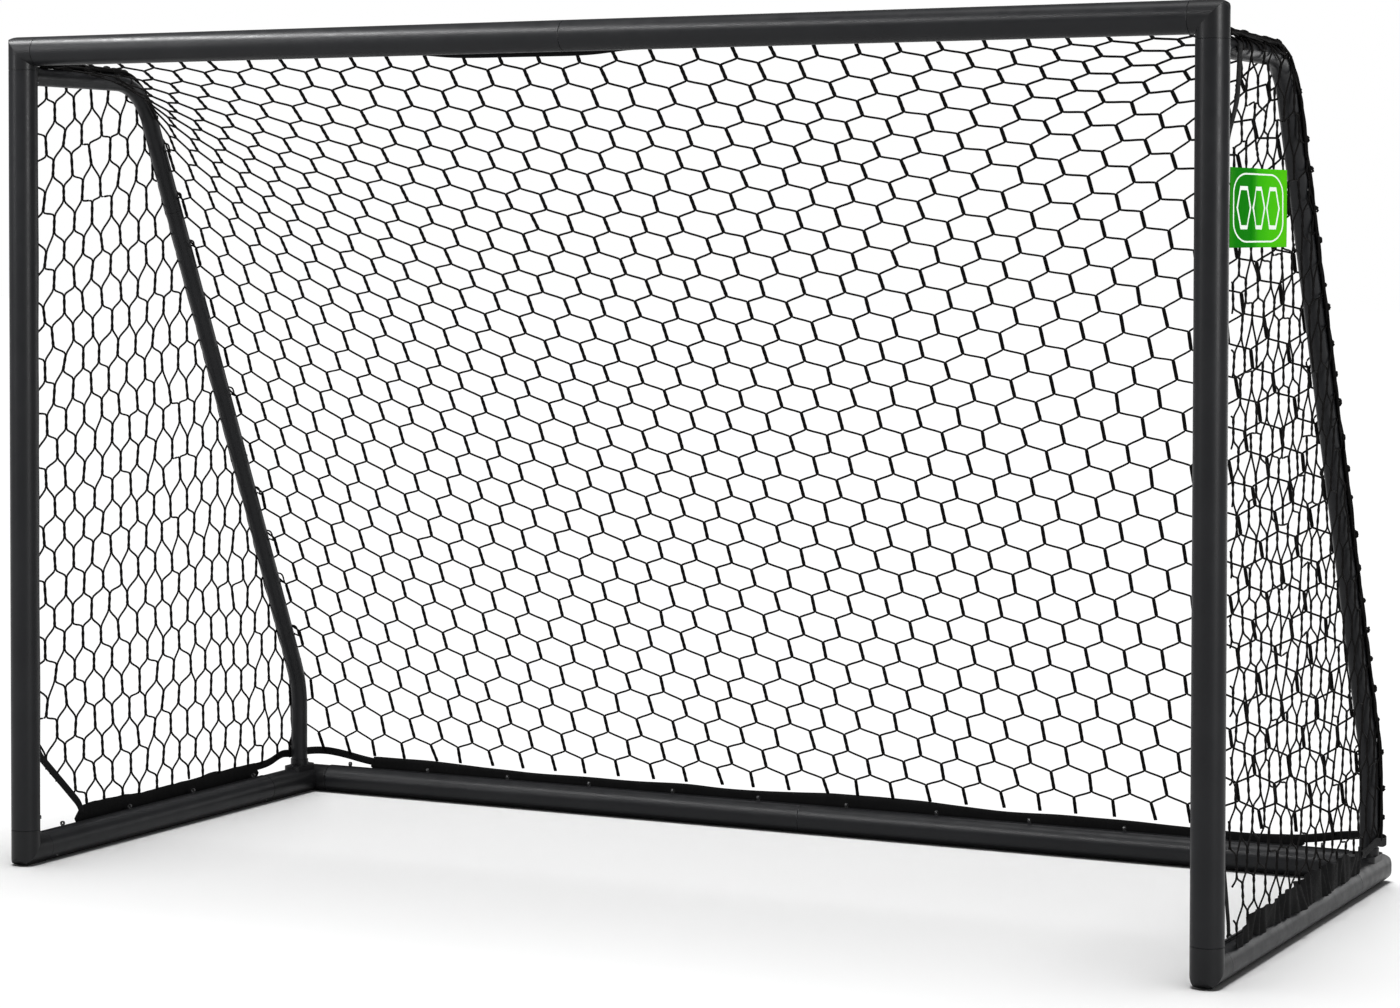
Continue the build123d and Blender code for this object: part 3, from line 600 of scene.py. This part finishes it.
def twine_path(tops, bottoms, low, normals, curl):
    """One twine that zigzags between half columns low and low + 1, down every row.

    In a leg it lies beside the other twine; curl is how far its slants keep the legs' direction.
    """
    rows = len(tops)
    points = []
    for r in range(rows):
        h = low if (low - r) % 2 == 0 else low + 1
        side = 1 if h == low else -1
        top, bottom = tops[r, h + 1], bottoms[r, h + 1]
        down = unit(bottom - top)
        normal = normals[r, h + 1]
        across = unit(np.cross(normal, down))
        t = np.linspace(0, 1, LEG_STEPS + 1)[:, None]
        beside = side * TWINE_R * LEG_SPREAD * across
        weave = side * TWINE_R * LEG_WEAVE * np.sin(4 * pi * t) * normal
        points.append(top + (bottom - top) * t + beside + weave)
        if r + 1 < rows:
            next_h = low if h != low else low + 1
            next_top = tops[r + 1, next_h + 1]
            next_down = unit(bottoms[r + 1, next_h + 1] - next_top)
            start, end = bottom + beside, next_top - beside
            reach = np.linalg.norm(end - start) * curl
            t = np.linspace(0, 1, SLANT_STEPS + 2)[1:-1, None]
            points.append((2 * t ** 3 - 3 * t ** 2 + 1) * start + (t ** 3 - 2 * t ** 2 + t) * reach * down
                          + (3 * t ** 2 - 2 * t ** 3) * end + (t ** 3 - t ** 2) * reach * next_down)
    return np.concatenate(points)


def build_back():
    """The net's back and roof, over the supports and down to the rear hem, in two halves."""
    tops, bottoms = solve_back()
    across = np.roll(tops, -2, axis=1) - np.roll(tops, 2, axis=1)
    across[~np.isfinite(across)] = 0
    across[..., 0] = np.maximum(across[..., 0], 1e-3)
    down = bottoms - tops
    normals = unit(np.cross(unit(across), unit(np.nan_to_num(down, nan=-1.0))))
    paths = []
    for low in range(-1, 2 * COLUMNS + 1):
        points = twine_path(tops, bottoms, low, normals, BACK_CURL)
        if low < 2 or low > 2 * COLUMNS - 3:
            points = clear_of_supports(points)
        paths.append((points, TWINE_R, np.array([1.0, 0, 0.03])))
    half = len(paths) // 2
    return [strands("net_back_left_twine", paths[:half], TWINE),
            strands("net_back_right_twine", paths[half:], TWINE)]


def side_lattice(side):
    """Legs of one side panel in the side plane: arrays of (0, y, z) for tops and bottoms."""
    front = FRONT_Y + 0.050
    r, h = np.meshgrid(np.arange(SIDE_ROWS), np.arange(-1, SIDE_HALF_COLUMNS - 1), indexing="ij")
    y = front + (h - 0.4) * SIDE_PITCH / 2 * (1 - SIDE_CROWDING * h)
    made = []
    slack = 1.0 if side < 0 else 1.6
    drift_y = np.stack([smooth_noise(SIDE_HALF_COLUMNS, 4, 0.004) for _ in range(SIDE_ROWS)])
    drift_z = np.stack([smooth_noise(SIDE_ROWS, 4, 0.005) for _ in range(SIDE_HALF_COLUMNS)], axis=1)
    loose = 1 + 1.2 * np.clip((8 - r) / 8, 0, 1)
    for end in (0, 1):
        z = SUPPORT_Z + 0.12 - (r + end * SIDE_LEG) * SIDE_ROW
        wobble = rng.normal(size=(2, SIDE_ROWS, SIDE_HALF_COLUMNS)) * 0.0026 * slack * loose
        yy = y + drift_y * slack + wobble[0]
        zz = (z + drift_z * slack + wobble[1]) * (1 + SIDE_FAN * (y - front))
        made.append(np.stack([np.zeros_like(yy), yy, zz], axis=-1))
    return made


def front_line(z, side):
    """Y of the side panel's front edge at a height: down the post, then back to the rail."""
    lean = STRAP_LEAN[side] * np.clip((z - STRAP_LEAN_Z) / (SUPPORT_Z - STRAP_LEAN_Z), 0, 1.3) ** 1.5
    low = (HEM_FRONT_Y[side] - STRAP_Y) * np.clip((STRAP_BEND_Z - z) / (STRAP_BEND_Z - HEM_HIGH), 0, 1)
    return STRAP_Y + lean + low


def build_side(side_name, side):
    """One side of the net, from the post's strap to the support and round it."""
    tops, bottoms = side_lattice(side)
    normal = np.zeros_like(tops)
    normal[..., 0] = 1
    paths = []
    for low in range(-1, tops.shape[1] - 2):
        points = twine_path(tops, bottoms, low, normal, SIDE_CURL)
        offset_x = points[:, 0]
        s, inside = nearest_on_support(points[:, 1], points[:, 2])
        angle = np.maximum(-inside, 0) / REACH
        flat = np.stack([side * (POST_X + REACH + offset_x), points[:, 1], points[:, 2]], axis=1)
        wrapped = on_support(s, angle, side, REACH)
        wrapped[:, 0] += side * offset_x * np.cos(angle)
        placed = np.where((inside > 0)[:, None], flat, wrapped)
        sway = SIDE_SWAY * np.sin(7 * points[:, 1] + 5 * points[:, 2])
        sway = sway * np.sin(pi * np.clip(inside / 0.4, 0, 1))
        placed[:, 0] -= side * np.maximum(sway, 0) * (inside > 0)
        cut = radians(96) + smooth_noise(len(points), 20, 0.2)
        keep = (angle < cut) & (points[:, 2] > side_hem_top(points[:, 1], side) - 0.006)
        keep &= points[:, 1] > front_line(points[:, 2], side) - 0.003
        keep &= (points[:, 2] < SUPPORT_Z + 0.10) & (s > 0.004)
        starts = np.flatnonzero(np.diff(np.concatenate([[0], keep.astype(int), [0]])))
        for first, last in zip(starts[::2], starts[1::2]):
            if last - first > 3:
                paths.append((placed[first:last], SIDE_TWINE_R[side], np.array([0.05, 1.0, 0.03])))
    return strands(f"net_{side_name}_twine", paths, TWINE)


def build_gather(side_name, side):
    """The net's edges bunched and laced together along a support, with the lacing's loose loops."""
    paths = []
    s = np.linspace(0.02, support_s[-1] - 0.05, GATHER_STEPS)
    slope = np.clip((s - 0.34) / 0.30, 0, 1)
    bunch_angle = BUNCH_TOP * (1 - slope) + BUNCH_SLOPE * slope
    bunch_width = 0.0105 * (1 - slope) + 0.0120 * slope
    bunch_height = 0.0048 * (1 - slope) + 0.0024 * slope
    bunch_lift = 0.0048 * (1 - slope) + 0.0030 * slope + 0.0080 * np.clip(1 - s / 0.26, 0, 1)
    for strand in range(GATHER_STRANDS):
        phase = 2 * pi * strand / GATHER_STRANDS + s * (9 + 4 * (strand % 3))
        phase = phase + smooth_noise(GATHER_STEPS, 12, 0.7)
        inner = 1.0 if strand % 3 else 0.45
        angle = bunch_angle + inner * bunch_width * np.cos(phase) / REACH
        lift = bunch_lift + inner * bunch_height * np.sin(phase)
        lift = np.maximum(lift + np.abs(smooth_noise(GATHER_STEPS, 5, 0.0006)), 0.0002)
        points = on_support(s, angle, side, REACH + lift)
        paths.append((points, TWINE_R * 1.05, np.array([1.0, 0.1, 0.03])))
    for hitch_s in np.arange(0.06, s[-1] - 0.03, HITCH_PITCH):
        at = hitch_s + rng.normal() * 0.010
        t = np.linspace(0, 1, HITCH_STEPS)
        turn = 2 * pi * HITCH_TURNS * t + rng.uniform(0, 2 * pi)
        wide, high = rng.uniform(0.9, 1.2) * HITCH_R, rng.uniform(0.8, 1.25) * HITCH_R
        around = np.interp(at, s, bunch_angle) + wide * np.cos(turn) / REACH
        out = REACH + np.maximum(np.interp(at, s, bunch_lift) + high * np.sin(turn), 0.0003)
        along = at + 0.010 * (t - 0.5) + rng.normal() * 0.002 * np.sin(turn)
        hitch = on_support(along, around, side, out)
        paths.append((hitch, TWINE_R, np.array([0.1, 1.0, 0.3])))
    for row in np.arange(ROOF_ROWS + 1.5, ROWS - 2, 2):
        if rng.random() < LOOP_SKIP:
            continue
        at = float(row_s(row)) + rng.normal() * 0.010
        size = rng.uniform(0.45, 1.0)
        t = np.linspace(0, 1, LOOP_STEPS)
        around = BUNCH_TOP * (1 + np.sin(pi * t) ** 0.8)
        out = REACH + 0.001 + 0.010 * size * np.sin(pi * t) ** 1.5
        along = at + 0.026 * size * (t - 0.5) - 0.007 * size * np.sin(2 * pi * t)
        loop = on_support(along, around, side, out)
        paths.append((loop, TWINE_R * 0.9, np.array([0.3, 0.2, 1.0])))
    return strands(f"net_{side_name}_lacing", paths, TWINE)


def declare(piece, replaced=()):
    """Let a piece ride on the frame, and hide the CAD nodes that it stands in for."""
    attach(piece, BODY)
    if replaced:
        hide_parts(*replaced)


def build_net():
    """All of the net's pieces."""
    for half in build_back():
        declare(half, ["net_back"])
    for side_name, side in SIDES:
        declare(build_side(side_name, side), [f"net_{side_name}"])
        declare(build_gather(side_name, side))


# ---- hems, straps and banner ----
def rear_hem_top(x):
    """Top of the rear hem and its corner straps: a slow wave that lifts towards the uprights."""
    return (HEM_HIGH - 0.010 + 0.004 * np.sin(4.1 * x + 0.6) + 0.003 * np.sin(9.7 * x)
            + 0.017 * np.clip((np.abs(x) - REAR_HEM_HALF) / 0.12, 0, 1))


def side_hem_top(y, side):
    """Top of a side hem; the right one stands higher towards the back and is more uneven."""
    top = HEM_HIGH - 0.003 + 0.003 * np.sin(11 * y + side)
    if side > 0:
        top = top + 0.022 * np.clip((y + 0.60) / 0.40, 0, 1) * np.clip((0.66 - y) / 0.35, 0, 1)
        top = top + 0.003 * np.sin(29 * y) + 0.002 * np.sin(53 * y)
        top = top - 0.026 * np.clip(1 - (y - HEM_FRONT_Y[side]) / 0.08, 0, 1) ** 1.5
    return top


def wide_band(name, centre_xy, high, material, crumple=0.0):
    """A hem: a wide band with a wavy lower edge, cut round at both ends; crumple tilts and frets it."""
    count = len(centre_xy)
    along = np.concatenate([[0], np.cumsum(np.linalg.norm(np.diff(centre_xy, axis=0), axis=1))])
    to_end = np.minimum(along, along[-1] - along)
    cut = 1 - np.sqrt(np.clip(1 - (1 - np.clip(to_end / 0.010, 0, 1)) ** 2, 0, 1))
    low = HEM_LOW + 0.001 + np.abs(smooth_noise(count, 6, 0.0014)) + 0.008 * cut
    high = high + smooth_noise(count, 5, 0.0010 + 0.016 * crumple)
    centre = np.column_stack([centre_xy, (low + high) / 2])
    across = np.column_stack([smooth_noise(count, 4, crumple), np.zeros(count), np.ones(count)])
    band = ribbon(name, centre, across, high - low, HEM_THICK, material)
    return band, along[-1], float((high - low).mean())


def build_hems():
    """The bands along the ground rails that the net's lower edge is sewn into."""
    x = np.linspace(-REAR_HEM_HALF, REAR_HEM_HALF, HEM_STEPS)
    centre = np.stack([x, HEM_REAR_Y + smooth_noise(HEM_STEPS, 8, 0.0012)], axis=1)
    rear, length, width = wide_band("hem_rear_band", centre, rear_hem_top(x), HEM_CLOTH)
    declare(rear, ["hem_rear"])
    for side_name, side in SIDES:
        y = np.linspace(HEM_FRONT_Y[side], SIDE_HEM_END_Y, HEM_STEPS)
        folds = np.sin(2 * pi * y / HEM_RUFFLE_PITCH + smooth_noise(HEM_STEPS, 9, 2.2))
        ruffle = HEM_RUFFLE[side] * folds * np.clip(0.55 + smooth_noise(HEM_STEPS, 16, 0.5), 0, 1.3)
        centre = np.stack([side * SIDE_X + ruffle + smooth_noise(HEM_STEPS, 8, 0.0010), y], axis=1)
        band, length, width = wide_band(f"hem_{side_name}_band", centre, side_hem_top(y, side), HEM_CLOTH,
                                        HEM_CRUMPLE[side])
        declare(band, [f"hem_{side_name}"])
        build_corner_strap(side_name, side)


def build_corner_strap(side_name, side):
    """The strap round a rear corner, between the side hem and the rear one."""
    corners = [(SIDE_X, SIDE_HEM_END_Y - 0.05), (SIDE_X, HEM_REAR_Y), (REAR_HEM_HALF - 0.05, HEM_REAR_Y)]
    turn, _ = rounded_path(corners, [CORNER_BEND_R], PATH_STEP)
    outward = np.column_stack([np.gradient(turn[:, 1]), -np.gradient(turn[:, 0])])
    turn = turn + unit(outward) * HEM_THICK
    share = np.clip((turn[:, 1] - SIDE_HEM_END_Y) / (HEM_REAR_Y - SIDE_HEM_END_Y), 0, 1)
    beside = side_hem_top(turn[:, 1], side) * (1 - share) + CORNER_TOP_Z * share
    top = np.where(turn[:, 1] < HEM_REAR_Y - 0.01, beside, rear_hem_top(turn[:, 0]))
    top = np.convolve(np.pad(top, 8, mode="edge"), np.ones(17) / 17, mode="valid")
    lift = CORNER_LIFT * np.exp(-((turn[:, 1] - 0.56) / 0.05) ** 2) * (share < 1)
    centre = np.column_stack([side * turn[:, 0], turn[:, 1], top + lift - STRAP_WIDTH / 2])
    upward = np.tile([0, 0, 1.0], (len(turn), 1))
    strap = ribbon(f"hem_corner_{side_name}_strap", centre, upward, STRAP_WIDTH, STRAP_THICK, STRAP_CLOTH)
    declare(strap)


def build_top_strap():
    """The webbing under the crossbar, which shows where it sags."""
    low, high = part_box("edge_strap_top")
    x = np.linspace(low.x, high.x, TOP_STRAP_STEPS)
    y = STRAP_TOP_Y + smooth_noise(TOP_STRAP_STEPS, 9, 0.0006)
    sag = STRAP_SAG * np.exp(-((x - STRAP_SAG_X) / STRAP_SAG_HALF) ** 6)
    z = STRAP_TOP_Z + smooth_noise(TOP_STRAP_STEPS, 12, 0.0016) - sag
    upward = np.tile([0, 0, 1.0], (TOP_STRAP_STEPS, 1))
    width = high.z - low.z
    centre = np.stack([x, y, z], axis=1)
    top = ribbon("edge_strap_top_band", centre, upward, width, STRAP_THICK, STRAP_CLOTH)
    declare(top, ["edge_strap_top"])


def build_post_strap(side_name, side):
    """The webbing down a post, wider and further out where it goes over the support."""
    strap_x = middle(f"edge_strap_{side_name}").x
    z = np.arange(SUPPORT_Z + 0.012, HEM_HIGH - 0.02, -0.008)
    y = np.convolve(np.pad(front_line(z, side), 2, mode="edge"), np.ones(5) / 5, mode="valid")
    outside = side * (POST_X + REACH + 0.004)
    over = np.clip((z - STRAP_LEAN_Z) / 0.12, 0, 1)
    over = over * over * (3 - 2 * over)
    x = strap_x * (1 - over) + outside * over + smooth_noise(len(z), 9, 0.0009)
    centre = np.stack([x, y, z], axis=1)
    tangent = unit(np.gradient(centre, axis=0))
    across = np.cross(tangent, np.tile([1.0, 0, 0], (len(z), 1)))
    width = STRAP_WIDTH + 0.008 * over
    band = ribbon(f"edge_strap_{side_name}_band", centre, across, width, STRAP_THICK, STRAP_CLOTH)
    declare(band, [f"edge_strap_{side_name}"])


def banner_cloth():
    """Printed cloth: green with painted shade towards the front and painted light towards the back, a plain
    pale outline and three hexagons like the net's cells.
    """
    low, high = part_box("side_banner")
    centre_y, centre_z = (low.y + high.y) / 2, (low.z + high.z) / 2
    half_y, half_z = (high.y - low.y) / 2, (high.z - low.z) / 2
    m = Nodes("banner_cloth", IOR=1.45, Specular_IOR_Level=0.03)
    at = m.place()
    axes = m.add("ShaderNodeSeparateXYZ")
    m.link(at, axes.inputs["Vector"])
    y, z = axes.outputs["Y"], axes.outputs["Z"]
    # Painted shade along the banner: the green darkens towards the front and lightens towards the back, and
    # noise moves the change a little.
    painted_shade_y = m.math("ADD", y, m.math("MULTIPLY", m.noise(at, 6, 2), 0.04))
    painted_shade = m.span(painted_shade_y, low.y + 0.02, high.y + 0.02, 0, 1)
    print_and_painted_shade = m.ramp(painted_shade, BANNER_GREENS_PAINTED_SHADE)
    off_y = m.math("ABSOLUTE", m.math("SUBTRACT", y, centre_y))
    off_z = m.math("ABSOLUTE", m.math("SUBTRACT", z, centre_z))
    to_rim = m.math("MAXIMUM", m.math("SUBTRACT", off_y, half_y), m.math("SUBTRACT", off_z, half_z))
    short_y = m.math("MULTIPLY", off_y, BANNER_SQUEEZE)
    reach = [m.math("MAXIMUM", m.math("SUBTRACT", off, half - BANNER_BORDER - BANNER_CORNER), 0)
             for off, half in ((short_y, half_y * BANNER_SQUEEZE), (off_z, half_z))]
    from_corner = m.math("SQRT", m.math("ADD", *(m.math("MULTIPLY", part, part) for part in reach)))
    border = m.math("COMPARE", from_corner, BANNER_CORNER, BANNER_LINE / 2)
    cell_y = m.math("PINGPONG", off_y, HEXAGON_PITCH / 2)
    slant = m.math("ADD", m.math("MULTIPLY", off_z, 0.5), m.math("MULTIPLY", cell_y, cos(radians(30))))
    hexagon = m.math("COMPARE", m.math("MAXIMUM", off_z, slant), HEXAGON_R, HEXAGON_LINE / 2)
    near = m.math("LESS_THAN", off_y, 1.5 * HEXAGON_PITCH)
    mark = m.math("MAXIMUM", border, m.math("MULTIPLY", hexagon, near))
    mix = m.add("ShaderNodeMix", data_type="RGBA")
    m.link(mark, mix.inputs["Factor"])
    m.link(print_and_painted_shade, mix.inputs["A"])
    mix.inputs["B"].default_value = (0.62, 0.66, 0.62, 1)
    m.to("Base Color", mix.outputs["Result"])
    m.to("Roughness", m.span(m.noise(at, 80, 3), 0.3, 0.7, 0.72, 0.85))
    weave = m.bump(m.noise(at, 1600, 2), 0.2, 0.0003)
    wave = m.math("SINE", m.math("MULTIPLY", m.math("ADD", y, z), 2 * pi / STITCH_PITCH))
    seam = m.math("COMPARE", to_rim, -BANNER_STITCH, 0.0008)
    stitches = m.math("MULTIPLY", seam, m.math("GREATER_THAN", wave, 0))
    m.to("Normal", m.bump(stitches, 0.6, 0.0006, weave))
    return m.material


def build_banner():
    """The cloth banner laced to the outside of the right side net, with a turned hem and a soft crease."""
    low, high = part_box("side_banner")
    y, z = np.meshgrid(np.linspace(low.y, high.y, BANNER_COLUMNS), np.linspace(low.z, high.z, BANNER_ROWS),
                       indexing="ij")
    ripple = 0.0012 * np.sin(13 * y + 2 * z) + 0.0006 * np.sin(41 * y - 17 * z)
    crease = BANNER_CREASE * np.exp(-((y - low.y - BANNER_CREASE_Y) / 0.022) ** 2)
    to_rim = np.minimum(np.minimum(y - low.y, high.y - y), np.minimum(z - low.z, high.z - z))
    hem = BANNER_HEM_THICK * np.clip((BANNER_HEM - to_rim) / 0.002, 0, 1)
    vertices = []
    for face_x, proud in ((low.x, 0), (high.x - BANNER_HEM_THICK, hem)):
        vertices.append(np.stack([face_x + ripple + crease + proud, y, z], axis=-1).reshape(-1, 3))
    grid = np.arange(BANNER_COLUMNS * BANNER_ROWS).reshape(BANNER_COLUMNS, BANNER_ROWS)
    outer = np.stack([grid[:-1, :-1], grid[1:, :-1], grid[1:, 1:], grid[:-1, 1:]], axis=-1).reshape(-1, 4)
    faces = (outer + grid.size).tolist() + outer[:, ::-1].tolist()
    rim = np.concatenate([grid[:-1, 0], grid[-1, :-1], grid[:0:-1, -1], grid[0, :0:-1]])
    for a, b in zip(rim, np.roll(rim, -1)):
        faces.append([a, b, b + grid.size, a + grid.size])
    banner = mesh_object("banner_sheet", np.concatenate(vertices).tolist(), faces, banner_cloth())
    declare(banner, ["side_banner"])


# ---- floor, light and camera ----
def build_floor():
    """A plain pale floor."""
    reach = 60.0
    mesh = bpy.data.meshes.new("floor")
    mesh.from_pydata([(-reach, -reach, 0), (reach, -reach, 0), (reach, reach, 0), (-reach, reach, 0)], [],
                     [(0, 1, 2, 3)])
    m = Nodes("floor_paint", Roughness=0.9, Specular_IOR_Level=0.1)
    tint = m.ramp(m.noise(m.place(), 0.6), [(0.3, (0.90, 0.90, 0.90)), (0.7, (0.92, 0.92, 0.92))])
    m.to("Base Color", tint)
    mesh.materials.append(m.material)
    floor = bpy.data.objects.new("floor", mesh)
    bpy.context.scene.collection.objects.link(floor)


def softbox(name, at, target, size, power, unlit):
    """A soft area light, aimed at target or straight down, that doesn't light the unlit collection."""
    light = bpy.data.lights.new(name, "AREA")
    light.shape = "RECTANGLE"
    light.size, light.size_y = size
    light.energy = power
    lamp = bpy.data.objects.new(name, light)
    lamp.location = at
    if target:
        lamp.rotation_euler = (Vector(target) - Vector(at)).to_track_quat("-Z", "Y").to_euler()
    else:
        lamp.rotation_euler = (0, 0, STRIP_TURN)
    lamp.light_linking.receiver_collection = unlit
    bpy.context.scene.collection.objects.link(lamp)


def build_light():
    """White surroundings and an overhead light, and softboxes that light the goal but not the floor."""
    world = bpy.data.worlds.new("studio")
    bpy.context.scene.world = world
    world.use_nodes = True
    nodes, links = world.node_tree.nodes, world.node_tree.links
    background = nodes["Background"]
    background.inputs["Color"].default_value = (1, 1, 1, 1)
    ray = nodes.new("ShaderNodeLightPath")
    strength = nodes.new("ShaderNodeMapRange")
    strength.inputs["To Min"].default_value = SURROUND
    strength.inputs["To Max"].default_value = 1.0
    links.new(ray.outputs["Is Camera Ray"], strength.inputs["Value"])
    links.new(strength.outputs["Result"], background.inputs["Strength"])
    overhead = bpy.data.lights.new("light_overhead", "SUN")
    overhead.energy = OVERHEAD
    overhead.angle = OVERHEAD_ANGLE
    bpy.context.scene.collection.objects.link(bpy.data.objects.new("light_overhead", overhead))
    unlit = bpy.data.collections.new("unlit_by_softboxes")
    unlit.objects.link(bpy.data.objects["floor"])
    unlit.collection_objects[0].light_linking.link_state = "EXCLUDE"
    softbox("light_right", (7.5, -3.6, 3.2), (1.2, -0.4, 1.0), (1.7, 3.6), 470, unlit)
    softbox("light_left", (-5.5, -5.5, 3.6), (-0.8, -0.3, 1.0), (0.9, 3.6), 160, unlit)
    softbox("light_strip_far", (-2.9, -1.75, STRIP_HEIGHT), None, (1.9, 0.4), 240, unlit)
    softbox("light_strip_near", (-1.35, -4.4, STRIP_HEIGHT), None, (3.6, 0.4), 270, unlit)
    softbox("light_back_right", (2.6, 6.5, 1.3), (1.4, 0.0, 0.3), (3.2, 2.2), 42, unlit)
    softbox("light_back_left", (-2.0, 6.0, 4.0), (-1.4, 0.0, 0.3), (2.5, 1.5), 22, unlit)


def build_camera():
    """The camera at the reference viewing angle."""
    camera = bpy.data.cameras.new("camera")
    camera.sensor_width = 36
    camera.lens = CAMERA_LENS
    camera.shift_x, camera.shift_y = CAMERA_SHIFT
    forward = Vector((-sin(CAMERA_YAW) * cos(CAMERA_PITCH), cos(CAMERA_YAW) * cos(CAMERA_PITCH),
                      sin(CAMERA_PITCH)))
    level = Vector((cos(CAMERA_YAW), sin(CAMERA_YAW), 0))
    upright = level.cross(forward)
    right = level * cos(CAMERA_ROLL) + upright * sin(CAMERA_ROLL)
    up = upright * cos(CAMERA_ROLL) - level * sin(CAMERA_ROLL)
    holder = bpy.data.objects.new("camera", camera)
    turn = Matrix((right, up, -forward)).transposed().to_4x4()
    holder.matrix_world = Matrix.Translation(CAMERA_AT) @ turn
    camera.clip_end = 200
    bpy.context.scene.collection.objects.link(holder)
    bpy.context.scene.camera = holder


build_camera()
finish_cad()
build_net()
build_hems()
build_top_strap()
for side_name, side in SIDES:
    build_post_strap(side_name, side)
build_banner()
build_floor()
build_light()
bpy.context.scene.view_settings.view_transform = "Standard"
bpy.context.scene.view_settings.gamma = VIEW_GAMMA
